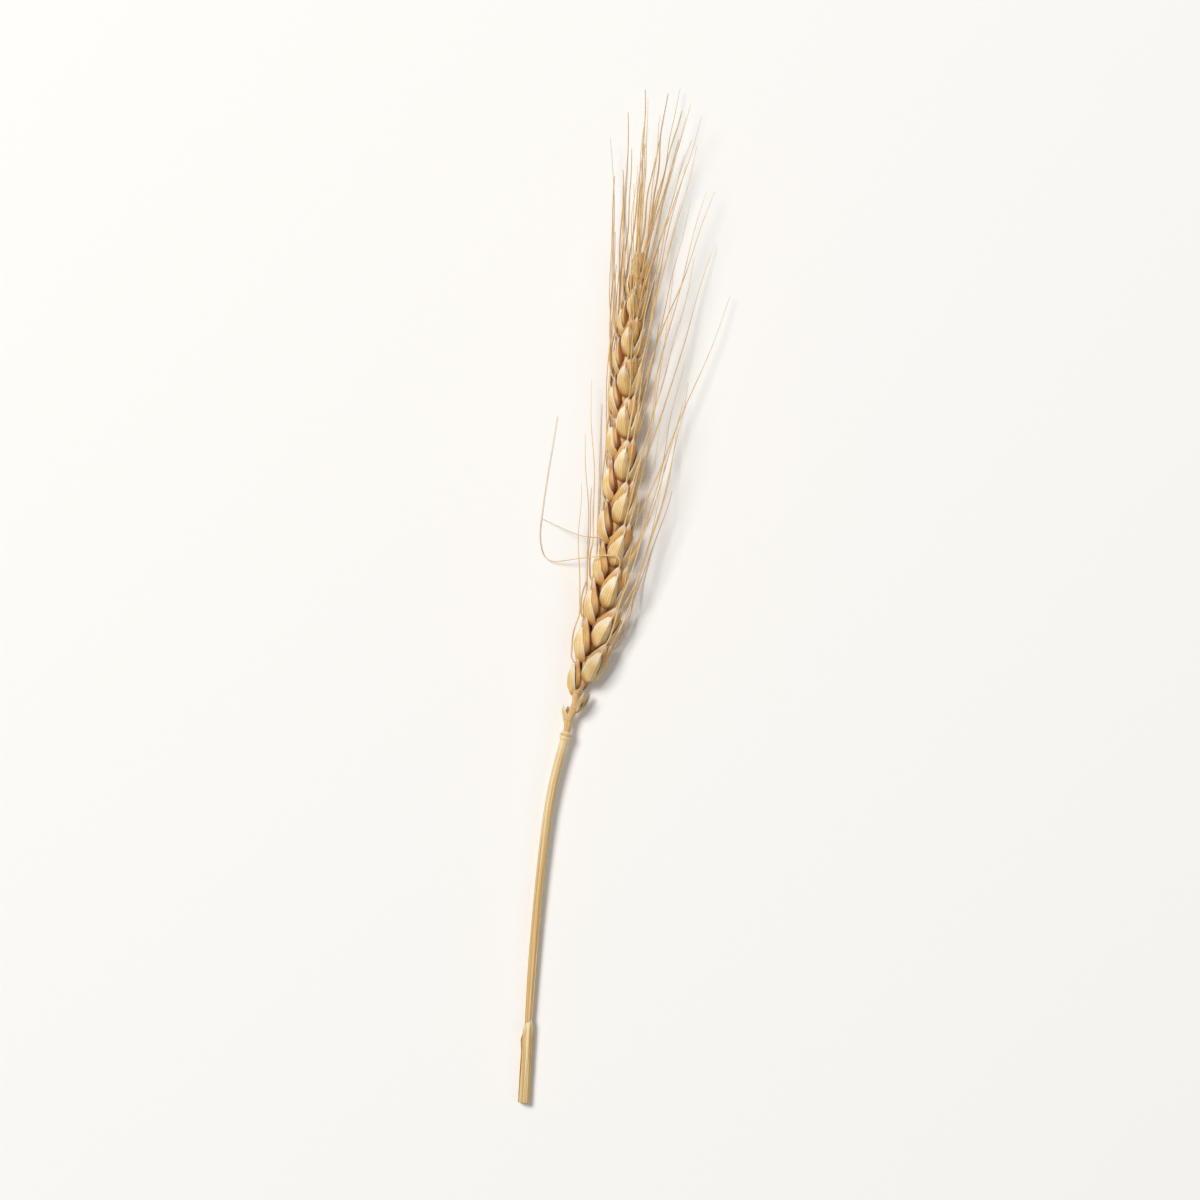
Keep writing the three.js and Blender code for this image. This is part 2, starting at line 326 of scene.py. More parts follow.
def orderAt(share):  # shareAt turned round
    orders = np.linspace(0, 1, 400)
    return np.interp(share, shareAt(orders), orders)


def earAt(share):  # point on the rachis, directions along it, of its rows and across them
    share = np.asarray(share, float)
    point, along, across, over = axisAt(strawLength + ear["rachisLength"] * share)
    roll = np.radians(lerp(*ear["roll"], share))[..., None]
    row = across * np.cos(roll) + over * np.sin(roll)
    broad = over * np.cos(roll) - across * np.sin(roll)
    return point, along, row, broad


def sizeAt(share):
    sizes = ear["size"]
    full = lerp(sizes["lower"], sizes["top"], share)
    faded = lerp(full, sizes["tip"], smooth(share, ear["fadesFrom"], 1))
    return lerp(sizes["foot"], faded, smooth(share, 0, ear["fullFrom"]))


def flareAt(share):
    flares = ear["flare"]
    settled = smooth(share, 0, ear["fullFrom"])
    return lerp(flares["foot"], lerp(flares["lower"], flares["top"], share), settled)


def spikeletAt(index):
    share = shareAt((index + 1) / nodeCount)
    atTip = index == ear["spikelets"]
    point, along, row, broad = earAt(share)
    side = 1 if index % 2 else -1
    spread = flareAt(share) * (1 if side > 0 else ear["pressed"])
    flare = 0 if atTip else math.radians(spread + ear["flareTurn"] * wobble(index, 1))
    twist = math.radians(ear["turn"] * wobble(index, 2))
    ahead = along * math.cos(flare) + row * side * math.sin(flare)
    straightOut = row * side * math.cos(flare) - along * math.sin(flare)
    return {
        "index": index, "share": share, "side": side, "size": sizeAt(share),
        "rowName": "right" if side > 0 else "left",
        "row": row, "broad": broad, "core": point, "along": along,
        "root": point + row * (0 if atTip else side * ear["seat"]),
        "ahead": ahead,
        "outward": straightOut * math.cos(twist) + broad * math.sin(twist),
        "sideways": broad * math.cos(twist) - straightOut * math.sin(twist),
    }


def wornAt(spikelet):
    worn, row = ear["worn"], spikelet["rowName"]
    grey = 1 - smooth(spikelet["share"], *worn["over"])
    dead = 1 - smooth(spikelet["size"], *worn["dead"]) if row == "right" else 0
    return worn[row] * grey + dead + worn["stray"] * (1 + wobble(spikelet["index"], 9))


def huskAt(spikelet, kind, hand):
    index, size, row = spikelet["index"], spikelet["size"], spikelet["rowName"]
    draw = 3 + 2 * hand + kind["draw"]
    lean = math.radians(kind["lean"] * hand + ear["turn"] * wobble(index, draw))
    facing = math.radians(kind["facing"] * hand + ear["turn"] * wobble(index, draw + 1))
    length = spikelet["ahead"] * math.cos(lean) + spikelet["sideways"] * math.sin(lean)
    facingTo = spikelet["outward"] * math.cos(facing) + spikelet["sideways"] * math.sin(facing)
    back = unit(facingTo - length * np.dot(facingTo, length))
    foot = (
        spikelet["root"]
        + spikelet["ahead"] * kind["up"] * size
        + spikelet["sideways"] * kind["aside"] * hand * size
        + spikelet["outward"] * kind["out"] * size
        - length * ear["rootDepth"]
    )
    return {
        "foot": foot, "length": length, "back": back, "width": np.cross(length, back),
        "size": size, "kind": kind, "seed": index * 16 + draw,
        "worn": wornAt(spikelet), "curl": ear["claw"] * (1 - smooth(size, *ear["clawSizes"])),
        "core": spikelet["core"], "along": spikelet["along"],
        # less of the warmer inner tone and painted shade towards the tip
        "innerToneAndShadeFade": lerp(1, ear["tipInnerToneAndShade"], smooth(spikelet["share"], ear["tipFrom"], 1)),
        "row": row, "outerSide": hand * spikelet["side"],
        "narrow": lerp(ear["stunted"][row], 1, smooth(size, *ear["stuntedSizes"])),
        "stretch": lerp(ear["lowestStretch"], 1, smooth(spikelet["share"], *ear["lowest"])),
    }


def shelterAt(husk, points):  # 1 close to the rachis, 0 on the outer side of the ear; it places the husks' warmer inner tone and painted shade
    away = points - husk["core"]
    away = away - (away @ husk["along"])[..., None] * husk["along"]
    near = 1 - smooth(np.linalg.norm(away, axis=-1) / husk["size"], *ear["shelter"])
    return near * husk["innerToneAndShadeFade"]


def bulge(v, foot=0.45, tip=0.8):  # 0 at root and tip, 1 where it swells most
    most = foot / (foot + tip)
    return v ** foot * (1 - v) ** tip / (most ** foot * (1 - most) ** tip)


def placeHusk(husk, x, y, z):
    x, y, z = (husk["size"] * part[..., None] for part in (x, y, z))
    return aboveFloor(husk["foot"] + husk["width"] * x + husk["length"] * y + husk["back"] * z)


def huskRows(count, first=0.004, last=0.998):  # shares of the length, closer together at both ends
    return lerp(first, last, (1 - np.cos(np.linspace(0, math.pi, count))) / 2)


# glumes: keeled, boat-shaped outer husks with a toothed keel, a short beak and thin pale edges

glume = {
    "length": 8.2, "width": 3.8, "outward": 1.3, "inward": 0.4, "bow": 0.75,
    "lean": 12, "facing": 52, "up": 0, "aside": 0.6, "out": 0.35, "draw": 10,
    # how each form swells from root to tip, for bulge
    "shoulder": (0.36, 0.46), "slope": (0.36, 0.78), "slopeOver": (-0.6, 0.6),
    "domeSwell": (0.4, 0.6), "domeRound": 1.9, "rimSwell": (0.3, 0.5),
    "keelAside": 0.36, "keelStray": 0.08, "keelSharp": 0.075,
    "keelHeights": (0.0595, 0.1955), "keelSwell": (0.3, 0.35),
    "nerves": (0.26, 0.46, 0.64, 0.8), "nerveHeight": 0.045, "nerveWidth": 0.04,
    "nerveSwell": (0.4, 0.4),
    "wall": 0.2, "edge": 0.05, "wrinkle": 0.07, "wrinkleSlant": 0.23,
    "tipAside": 0.55, "tipFrom": 0.5, "curlFrom": 0.35,
    "waver": 0.05, "waverOver": (0.2, 0.6), "torn": 0.13, "tornOver": (0.55, 0.8),
    "rows": 42, "columns": 31, "crowding": 1.3,  # columns stand closer together at the keel
}
tooth = {
    "count": 9, "over": (0.5, 0.93), "length": 0.24, "height": 0.09, "width": 0.05,
    "back": 0.12, "sunk": 0.04,
}
beak = {
    "length": 2.6, "radius": 0.26, "lift": 0.3, "sunk": 0.12, "inside": 0.15, "followsKeel": 0.3,
    "taper": (0.9, 0.8), "along": (0.9, 1), "rows": 7, "columns": 6,
}


def addGlume(pile, husk):
    kind, seed, outerSide = husk["kind"], husk["seed"], husk["outerSide"]
    v = huskRows(kind["rows"])[:, None]
    keelAt = outerSide * kind["keelAside"] + kind["keelStray"] * wobble(seed, 5)
    reach = np.linspace(-1, 1, kind["columns"])[None, :]
    aside = np.abs(reach) ** kind["crowding"]  # 0 on the keel, 1 at both edges
    xi = keelAt + np.where(reach > 0, aside * (1 - keelAt), -aside * (1 + keelAt))
    # the face beside the keel has a full shoulder, the other one slopes to the beak
    shouldered, sloping = bulge(v, *kind["shoulder"]), bulge(v, *kind["slope"])
    outline = lerp(shouldered, sloping, smooth(xi * outerSide, *kind["slopeOver"]))
    half = outline * kind["width"] / 2 * husk["narrow"]
    half = half * (1 + kind["waver"] * sway(v, seed) * smooth(v, *kind["waverOver"]))
    dome = bulge(v, *kind["domeSwell"]) * kind["outward"] * (1 - aside ** kind["domeRound"])
    rim = bulge(v, *kind["rimSwell"]) * kind["inward"] * xi * xi
    ridge = lerp(*kind["keelHeights"], v) * bell(xi, keelAt, kind["keelSharp"])
    ridge = ridge * bulge(v, *kind["keelSwell"])
    nerveHeight = kind["nerveHeight"] * bulge(v, *kind["nerveSwell"])
    for nerve in kind["nerves"]:
        ridge = ridge + nerveHeight * bell(aside, nerve, kind["nerveWidth"])
    crease = kind["wrinkle"] * sway(v + kind["wrinkleSlant"] * xi, seed + 1, (1, 2, 3)) * bulge(v)
    curl = husk["curl"] * smooth(v, kind["curlFrom"], 1)
    outer = dome - rim + ridge + crease + kind["bow"] * np.sin(math.pi * v) + curl
    # the wall thins towards its edges, and only the edges are torn
    wall = (kind["wall"] * (1 - np.abs(xi) ** 3) + kind["edge"]) * np.minimum(1, 4 * outline)
    torn = kind["torn"] * sway(v, seed + 2, (5, 7, 11, 13)) * np.abs(xi) ** 6
    tip = outerSide * kind["tipAside"] * smooth(v, kind["tipFrom"], 1) * husk["narrow"]
    x = half * xi + torn * smooth(v, *kind["tornOver"]) * xi + tip
    y = v * kind["length"] * husk["stretch"]
    outerSkin = placeHusk(husk, x, y, outer)
    innerSkin = placeHusk(husk, x, y, outer - ridge - wall)
    skin = bothSkins(outerSkin, innerSkin)
    spread = np.sign(reach) * aside
    shared = {"tint": 0.5 + 0.5 * wobble(seed, 7), "worn": husk["worn"]}
    pile.tube(
        skin,
        across=bothSkins(spread, spread),
        along=v,
        inner=bothSkins(np.zeros_like(reach), np.ones_like(reach)),
        shelter=shelterAt(husk, skin),
        **shared,
    )
    shared.update(across=0.0, inner=0.0, shelter=0.0)
    rows = np.linspace(*tooth["over"], tooth["count"])
    keel = sampled(rows, v[:, 0], outerSkin[:, kind["columns"] // 2])
    ahead = unit(np.gradient(keel, axis=0))
    addTeeth(pile, husk, keel, ahead, rows, shared)
    addBeak(pile, husk, keel[-1], ahead[-1], shared)


def addTeeth(pile, husk, keel, ahead, rows, shared):  # along the upper half of the keel
    side = husk["width"] * tooth["width"]
    sunk = keel - husk["back"] * tooth["sunk"]
    corners = np.stack([sunk - ahead * tooth["back"], sunk + side, sunk - side], axis=1)
    tips = keel + husk["back"] * tooth["height"] + ahead * tooth["length"]
    pile.spikes(corners, tips, along=rows, **shared)


def addBeak(pile, husk, keelEnd, keelAhead, shared):  # the keel runs out into a short beak
    t = np.linspace(0, 1, beak["rows"])[:, None]
    turn = circle(beak["columns"])
    ahead = unit(husk["length"] + beak["followsKeel"] * keelAhead)
    middle = keelEnd - husk["back"] * beak["sunk"]
    middle = middle + ahead * beak["length"] * husk["size"] * (t - beak["inside"])
    middle = middle + husk["back"] * beak["lift"] * wobble(husk["seed"], 8) * t * t
    taper, power = beak["taper"]
    radius = beak["radius"] * husk["size"] * husk["narrow"] * (1 - taper * t ** power)
    x, z = radius * np.sin(turn), radius * np.cos(turn)
    rings = ringsRound(middle, husk["width"], husk["back"], x, z)
    pile.tube(rings, along=lerp(*beak["along"], t), **shared)


# lemmas: plump inner husks, closed by the palea on the side of the ear, each ending in an awn

lemma = {
    "length": 8.9, "width": 4, "outward": 0.9, "inward": 1.6, "bow": 0.3,
    "lean": 8, "facing": 44, "up": 1.5, "aside": 0.4, "out": 0.1, "draw": 20,
    # how each form swells from root to tip, for bulge
    "widthSwell": (0.45, 0.8), "depthSwell": (0.45, 0.75),
    "nerves": (0, 18, 36, 54, 72, 90), "nerveHeight": 0.07, "nerveWidth": 4.5,
    "nerveSwell": (0.3, 0.3),
    "seam": 112, "seamOver": (108, 117), "seamDepth": 0.2, "seamSwell": (0.4, 0.5),
    "grooveDepth": 0.12, "grooveWidth": 26,
    "wrinkle": 0.06, "wrinkleSlant": 0.13, "waver": 0.04,
    # how much wider it is on the side that covers the rachis
    "lap": {"left": 0.7, "right": 0.15}, "lapSwell": (0.6, 0.9),
    "rows": 36, "columns": 60,
}
floret = dict(
    lemma, length=8, width=2.4, outward=1.2, inward=0.9, bow=0.2,
    lean=0, facing=0, up=3, aside=0, out=0.5,
)


def addLemma(pile, husk):
    kind, seed = husk["kind"], husk["seed"]
    v = huskRows(kind["rows"])[:, None]
    theta = np.linspace(-180, 180, kind["columns"], endpoint=False)[None, :]
    turn = np.radians(theta)
    ridge = sum(bell(np.abs(theta), nerve, kind["nerveWidth"]) for nerve in kind["nerves"])
    tuck = smooth(np.abs(theta), *kind["seamOver"])
    groove = bell(180 - np.abs(theta), 0, kind["grooveWidth"])
    crease = kind["wrinkle"] * sway(v + kind["wrinkleSlant"] * np.sin(turn), seed + 1, (1, 2, 3))
    proud = kind["nerveHeight"] * ridge * bulge(v, *kind["nerveSwell"]) + crease * bulge(v)
    sunk = kind["seamDepth"] * tuck + kind["grooveDepth"] * groove
    proud = proud - sunk * bulge(v, *kind["seamSwell"])
    half = bulge(v, *kind["widthSwell"]) * kind["width"] / 2
    half = half * (1 + kind["waver"] * sway(v, seed)) + proud
    depth = np.where(np.cos(turn) > 0, kind["outward"], kind["inward"])
    depth = depth * bulge(v, *kind["depthSwell"]) + proud
    innerFace = smooth(-husk["outerSide"] * np.sin(turn), 0, 1)
    overRachis = kind["lap"][husk["row"]] * innerFace * bulge(v, *kind["lapSwell"])
    x = half * np.sin(turn) * (1 + overRachis)
    z = depth * np.cos(turn) + kind["bow"] * np.sin(math.pi * v)
    y = v * kind["length"] * husk["stretch"]
    skin = placeHusk(husk, x, y, z)
    pile.tube(
        skin,
        across=theta / kind["seam"],
        along=v,
        inner=tuck,
        tint=0.5 + 0.5 * wobble(seed, 7),
        worn=husk["worn"],
        shelter=shelterAt(husk, skin),
    )


# awns: long, three-edged bristles with fine barbs

awn = {
    "length": {"foot": 32, "middle": 54, "tip": 34}, "lengthStray": 0.12,
    "rootRadius": 0.25, "tipRadius": 0.05, "taper": 0.75, "rootAt": 0.82,
    "bend": 5, "spreadRow": 0.09, "spreadBroad": 0.11, "stray": 0.09,
    "sway": 0.5, "swayOver": (0.05, 0.5), "clearance": 0.2, "easing": 0.3,
    # two awns reach down to the floor: number of the spikelet and hand
    "props": [(2, 0), (3, -1)], "propClearance": 0.09, "propDroop": 5,
    # two awns are bent aside: across and along from the awn's root, height above the floor
    "bentAside": {
        (7, 1): [
            (0.3, 3.3, 8.5), (-1.7, 3.9, 8.3), (-4.9, 3.6, 6.4), (-8.6, 3.2, 3.6),
            (-14.9, 2.8, 0.9), (-17.1, 6.9, 0.4), (-16.4, 15.8, 0.4), (-13.3, 35, 0.4),
        ],
        (8, 1): [(-5.6, 2.9, 3.4), (-13.8, 6.6, 0.4)],
    },
    "bentLead": 2,
    "rows": 60, "columns": 6, "flute": 0.8,
}
barb = {
    "every": 1.1, "over": (0.14, 0.97), "length": 0.26, "height": 0.07, "width": 0.05,
    "back": 0.12, "sunk": 0.6, "stray": 0.2,
}


def awnLengthAt(share):
    lengths = awn["length"]
    hump = 4 * share * (1 - share)
    return lerp(lerp(lengths["foot"], lengths["tip"], share), lengths["middle"], hump)


def awnRoot(husk):
    return husk["foot"] + husk["length"] * awn["rootAt"] * husk["kind"]["length"] * husk["size"]


def awnLine(spikelet, husk, hand, seed):
    index, side, draw = spikelet["index"], spikelet["side"], 40 + 5 * hand
    end = unit(
        earDirection
        + spikelet["row"] * (side * awn["spreadRow"] + awn["stray"] * wobble(index, draw))
        + spikelet["broad"] * (hand * awn["spreadBroad"] + awn["stray"] * wobble(index, draw + 1))
    )
    reach = awnLengthAt(spikelet["share"]) * (1 + awn["lengthStray"] * wobble(index, draw + 2))
    t = np.linspace(0, 1, awn["rows"])[:, None]
    straight = (1 - (1 - t) ** awn["bend"]) / awn["bend"]
    line = awnRoot(husk) + husk["length"] * reach * straight + end * reach * (t - straight)
    wave = husk["width"] * sway(t, seed, (1, 2, 3)) + husk["back"] * sway(t, seed + 300, (1, 2))
    line = line + awn["sway"] * smooth(t, *awn["swayOver"]) * wave
    isProp = (index, hand) in awn["props"]
    clearance = awn["propClearance"] if isProp else awn["clearance"]
    rise = line[:, 2:] - clearance - (awn["propDroop"] * t * t if isProp else 0)
    line[:, 2:] = clearance + (rise + np.hypot(rise, awn["easing"] * t)) / 2
    return line


def bentLine(husk, route):
    root = awnRoot(husk)
    rest = [(root[0] + across, root[1] + along, height) for across, along, height in route]
    points = np.vstack([root, root + husk["length"] * awn["bentLead"], rest])
    return through(points, np.linspace(0, 1, awn["rows"]))


# awns drape over the spikelets that they pass: a relief says how far husks stand out round the axis

drape = {
    "step": 0.4, "turns": 80, "reach": 1.2,  # cells of the relief along and round the ear
    "gap": 0.2, "rampTo": 0.05, "floor": 0.12,
    "hold": 3, "soften": 1.9,  # in rows of the awn
}
reliefRows = int(drape["reach"] * ear["rachisLength"] / drape["step"])
axisAlong = onAxis(tTable)[:, 1]


def aroundEar(points):  # cell of the relief, distance from the axis and direction away from it
    length = np.interp(points[:, 1], axisAlong, lengthTable)
    for _ in range(2):  # steps to the nearest point of the axis
        point, along, across, over = axisAt(length)
        length = length + ((points - point) * along).sum(axis=1)
    point, along, across, over = axisAt(length)
    away = points - point
    turn = np.arctan2((away * across).sum(axis=1), (away * over).sum(axis=1))
    far = np.linalg.norm(away, axis=1)
    row = np.clip(((length - strawLength) / drape["step"]).astype(int), 0, reliefRows - 1)
    column = ((turn / fullTurn + 0.5) * drape["turns"]).astype(int) % drape["turns"]
    return row, column, far, away / far[:, None]


def reliefOf(points):
    row, column, far, _ = aroundEar(points)
    relief = np.zeros((reliefRows, drape["turns"]))
    np.maximum.at(relief, (row, column), far)
    for axis in (1, 0):  # each cell also takes in its neighbours
        relief = np.max([np.roll(relief, k, axis=axis) for k in (-1, 0, 1)], axis=0)
    return relief


def drapeAwn(line, relief):
    ramp = smooth(np.linspace(0, 1, len(line)), 0, drape["rampTo"])
    row, column, far, outward = aroundEar(line)
    push = ramp * np.clip(relief[row, column] + awn["rootRadius"] + drape["gap"] - far, 0, None)
    # held over some rows and then softened, so that the awn bends without a kink
    hold, span = drape["hold"], int(3 * drape["soften"])
    padded = np.pad(push, hold, "edge")
    held = np.max([padded[k:k + len(push)] for k in range(2 * hold + 1)], axis=0)
    kernel = bell(np.arange(-span, span + 1), 0, drape["soften"])
    eased = np.convolve(np.pad(held, span, "edge"), kernel / kernel.sum(), "valid")
    draped = line + outward * (eased * ramp)[:, None]
    draped[:, 2] = np.maximum(draped[:, 2], np.minimum(line[:, 2], drape["floor"]))
    return draped


def addAwn(pile, line, seed):
    t = np.linspace(0, 1, len(line))[:, None]
    along = unit(np.gradient(line, axis=0))
    across = unit(np.cross(along, skyward))
    over = np.cross(across, along)
    radius = lerp(awn["rootRadius"], awn["tipRadius"], t ** awn["taper"])
    turn = circle(awn["columns"]) + 2 * wobble(seed, 4)
    flute = np.where(np.arange(awn["columns"]) % 2, awn["flute"], 1.0)[None, :]
    x, z = radius * flute * np.sin(turn), radius * flute * np.cos(turn)
    rings = ringsRound(line, across, over, x, z)
    tint = 0.5 + 0.5 * wobble(seed, 7)
    pile.tube(rings, along=t, tint=tint)
    # barbs sit on the three edges in turn and point towards the tip
    reach = np.linalg.norm(np.diff(line, axis=0), axis=1).sum()
    count = int(reach / barb["every"])
    at = np.linspace(*barb["over"], count)
    dice = np.random.default_rng(seed)
    edge = turn[0, 2 * (np.arange(count) % 3)] + barb["stray"] * (dice.random(count) - 0.5)

    def sample(field):
        return sampled(at, t[:, 0], field)

    ahead = sample(along)
    out = sample(across) * np.sin(edge)[:, None] + sample(over) * np.cos(edge)[:, None]
    beside = np.cross(ahead, out) * barb["width"]
    skin = sample(line) + out * sample(radius) * barb["sunk"]
    corners = np.stack([skin - ahead * barb["back"], skin + beside, skin - beside], axis=1)
    tips = sample(line) + out * (sample(radius) + barb["height"]) + ahead * barb["length"]
    pile.spikes(corners, tips, along=at, tint=tint)


# rachis: the flattened zigzag stalk that carries the spikelets, with hairy edges

rachis = {
    "footRadius": 1.3, "tipRadius": 0.8, "flattening": 0.7, "zigzag": 0.35, "sunk": 0.6,
    "ledge": 0.13, "ledgeWidth": 0.1, "waist": 0.12, "waistWidth": 0.3,
    "footShare": 0.76, "footReach": 0.012, "ribs": 7, "rib": 0.045,
    "uneven": 0.02, "unevenAlong": 9, "unevenRound": 6, "unevenSeed": 81,
    "rows": 300, "columns": 22,
}
hair = {
    "perNode": 16, "over": (-0.3, 0.1), "length": 0.85, "lengths": (0.5, 1.1), "radius": 0.022,
    "slant": 0.5, "ahead": (0.6, 1.4), "seat": 0.88, "slantSeat": 0.5, "seed": 91,
}


def rachisAt(share):
    place = orderAt(np.clip(np.asarray(share, float), 0, 1)) * nodeCount
    below = np.floor(place)
    swing = np.where(below % 2, -1.0, 1.0) * np.where(below == 0, 0, 1)
    nextSwing = np.where((below + 1) % 2, -1.0, 1.0)
    away = rachis["zigzag"] * lerp(swing, nextSwing, smooth(place - below, 0, 1))
    radius = lerp(rachis["footRadius"], rachis["tipRadius"], share)
    near = np.abs(place - np.round(place))
    radius = radius + rachis["ledge"] * bell(near, 0, rachis["ledgeWidth"])
    radius = radius - rachis["waist"] * bell(near, 0.5, rachis["waistWidth"])
    radius = radius * lerp(rachis["footShare"], 1, smooth(share, 0, rachis["footReach"]))
    point, along, row, broad = earAt(share)
    return point + row * away[..., None], along, row, broad, radius


def addRachis(pile):
    share = np.linspace(-rachis["sunk"] / ear["rachisLength"], 1, rachis["rows"])
    point, along, row, broad, radius = rachisAt(share)
    turn = circle(rachis["columns"])
    ribs = 1 + rachis["rib"] * np.cos(rachis["ribs"] * turn)
    wave = share[:, None] * rachis["unevenAlong"] + turn / rachis["unevenRound"]
    ribs = ribs + rachis["uneven"] * sway(wave, rachis["unevenSeed"])
    x = radius[:, None] * rachis["flattening"] * np.sin(turn) * ribs
    z = radius[:, None] * np.cos(turn) * ribs
    rings = ringsRound(point, row, broad, x, z)
    share, order = share[:, None], orderAt(share)[:, None]
    pile.tube(rings, along=share, order=order, around=turn / fullTurn, hair=0.0)


def addHairs(pile):
    dice = np.random.default_rng(hair["seed"])
    nodes = np.repeat(np.arange(1, nodeCount), hair["perNode"])
    count = len(nodes)
    share = shareAt((nodes + dice.uniform(*hair["over"], count)) / nodeCount)
    point, along, row, broad, radius = rachisAt(share)
    radius = radius[:, None]
    side = np.where(dice.random(count) < 0.5, -1.0, 1.0)[:, None]
    slant = dice.uniform(-hair["slant"], hair["slant"], (count, 1))
    start = point + radius * (broad * side * hair["seat"] + row * slant * hair["slantSeat"])
    heading = unit(broad * side + along * dice.uniform(*hair["ahead"], (count, 1)) + row * slant)
    length = hair["length"] * dice.uniform(*hair["lengths"], (count, 1))
    right = unit(np.cross(heading, row))
    up = np.cross(right, heading)
    angles = np.radians([0, 120, 240])
    ring = [start + hair["radius"] * (right * math.cos(a) + up * math.sin(a)) for a in angles]
    tips = start + heading * length
    pile.spikes(np.stack(ring, axis=1), tips, along=share, order=0.0, around=0.0, hair=1.0)


# straw: hollow ribbed culm with a swollen collar under the ear

straw = {
    "radius": 0.97, "sheathedRadius": 0.8, "boreRadius": 0.42, "boreDepth": 24,
    "thinsOver": (-4, 14),  # from the mouth of the sheath
    "collarRadius": 1.28, "collarHeight": 1.5, "gap": 0.3,
    "swells": (0.05, 0.42), "shrinks": (0.62, 0.97), "shrinkShare": 0.85,
    "groove": 0.35, "grooveWidth": 0.06,
    # stretches of the profile, measured from the floor of the bore, the cut or the collar
    "boreRound": 0.4, "boreFrom": 2, "boreTo": 0.35, "wallFrom": 0.1, "wallTo": 1.2,
    "neckFrom": 1.0, "neckReach": 0.95,
    "boreWaver": 0.05, "lip": [(0.05, 0.12), (0.14, 0.0)], "cutEdge": 0.09,
    "topShare": 0.7, "closedTo": (0.01, 0.02),
    "ribs": 19, "ribHeight": 0.022, "ribSway": 0.8, "ribWave": 80, "ribSeed": 31, "fineRib": 0.5,
    "dent": 0.012, "dentWave": 21, "dentTurn": 0.2, "dentSeed": 33, "reliefOver": (0.3, 0.7),
    "cutReach": 2.4, "cutBack": 0.3, "cutSlant": 0.22, "cutTurn": 0.6, "fray": 0.09, "fraySeed": 37,
    "rows": 190, "boreRows": 24, "neckRows": 18, "columns": 76,
}


def strawRadius(length):
    bare = smooth(length - sheath["length"], *straw["thinsOver"])
    return lerp(straw["sheathedRadius"], straw["radius"], bare)


def collarSwell(h):  # 0 on the shaft, 1 at the widest of the collar, with a groove round its middle
    swell = smooth(h, *straw["swells"]) * (1 - straw["shrinkShare"] * smooth(h, *straw["shrinks"]))
    return swell - straw["groove"] * bell(h, 0.5, straw["grooveWidth"])


def addStraw(pile):
    top = strawLength - straw["gap"] / 2
    shaft = strawLength - straw["collarHeight"]
    inside, depth, outside = straw["boreRadius"], straw["boreDepth"], straw["sheathedRadius"]
    # radius and length: from the floor of the bore to the cut, up the wall and over the collar
    floorPoint, topPoint = straw["closedTo"]
    bore = [(floorPoint, depth), (inside, depth - straw["boreRound"])]
    steps = np.linspace(depth - straw["boreFrom"], straw["boreTo"], straw["boreRows"])
    bore += [(inside * (1 + straw["boreWaver"] * math.sin(s)), s) for s in steps]
    bore += [(inside + wider, s) for wider, s in straw["lip"]] + [(outside - straw["cutEdge"], 0.0)]
    steps = np.linspace(straw["wallFrom"], shaft - straw["wallTo"], straw["rows"])
    wall = [(float(strawRadius(s)), s) for s in steps]
    swell = straw["collarRadius"] - straw["radius"]
    neckStart, neckLength = shaft - straw["neckFrom"], top - shaft + straw["neckReach"]
    neck = [
        (straw["radius"] + swell * float(collarSwell(h)), neckStart + neckLength * h)
        for h in np.linspace(0, 1, straw["neckRows"])
    ]
    close = [(straw["radius"] * straw["topShare"], top), (topPoint, top)]
    radius, length = np.array(bore + wall + neck + close).T
    turn = circle(straw["columns"])
    # 1 on the outside, 0 in the bore and on the closed top
    skin = (np.arange(len(radius)) >= len(bore))[:, None] * np.ones_like(turn)
    skin[-2:] = 0
    ribSway = straw["ribSway"] * sway(length[:, None] / straw["ribWave"], straw["ribSeed"])
    ribs = np.cos(straw["ribs"] * turn + ribSway)
    ribs = ribs + straw["fineRib"] * np.cos(2 * straw["ribs"] * turn + 1)
    dentWave = length[:, None] / straw["dentWave"] + np.sin(turn) * straw["dentTurn"]
    dents = straw["dent"] * sway(dentWave, straw["dentSeed"])
    relief = straw["ribHeight"] * ribs + dents
    relief = relief * smooth(radius, *straw["reliefOver"])[:, None]
    around = radius[:, None] + skin * relief
    point, along, across, over = axisAt(np.clip(length, 0, None))
    rings = ringsRound(point, across, over, around * np.sin(turn), around * np.cos(turn))
    # the cut runs a little slantwise and frays
    nearCut = (1 - smooth(length, 0, straw["cutReach"]))[:, None]
    fray = straw["cutSlant"] * np.sin(turn - straw["cutTurn"])
    fray = fray + straw["fray"] * sway(turn / fullTurn, straw["fraySeed"], (3, 5, 7, 11))
    rings = rings + along[:, None] * ((fray * nearCut + straw["cutBack"]) * nearCut)[..., None]
    pile.tube(rings, along=length[:, None] / strawLength, around=turn / fullTurn, hollow=1 - skin)


# leaf sheath: a dry leaf base rolled round the straw, veined, with a torn mouth

sheath = {
    "length": 17, "innerRadius": 0.98, "outerRadius": 1.5, "wall": 0.2, "inset": 0.12,
    "startsAt": 205, "wraps": 415, "lapOver": (0.62, 0.9), "oval": 0.05,
    "foot": 0.1, "edgeRamp": 14, "edgeLeast": 0.15,  # the wall thins to both edges of the leaf
    "mouthSlant": 2.4, "mouthTurn": 0.4, "mouthFlare": 0.16, "underLap": 0.4, "mouthFrom": 0.8,
    "tear": 0.9, "tearFrom": 0.1, "tears": [(0.45, 3, 53), (0.3, 9, 54)],  # share, turns and seed
    "notches": [(2.2, 1, 0.06), (1.6, 0, 0.1)],  # depth, place and width in the mouth's edge
    "thinFrom": 0.85, "thinBy": 0.65,
    "rumple": 0.035, "rumpleAlong": 1.3, "rumpleRound": 0.8, "rumpleSeed": 51,
    "veins": 24, "veinHeight": 0.026, "rows": 60, "columns": 200,
}
# the paint's veins lie between the ribs of the mesh
sheath["veinTurns"] = math.radians(sheath["veins"] * sheath["wraps"])


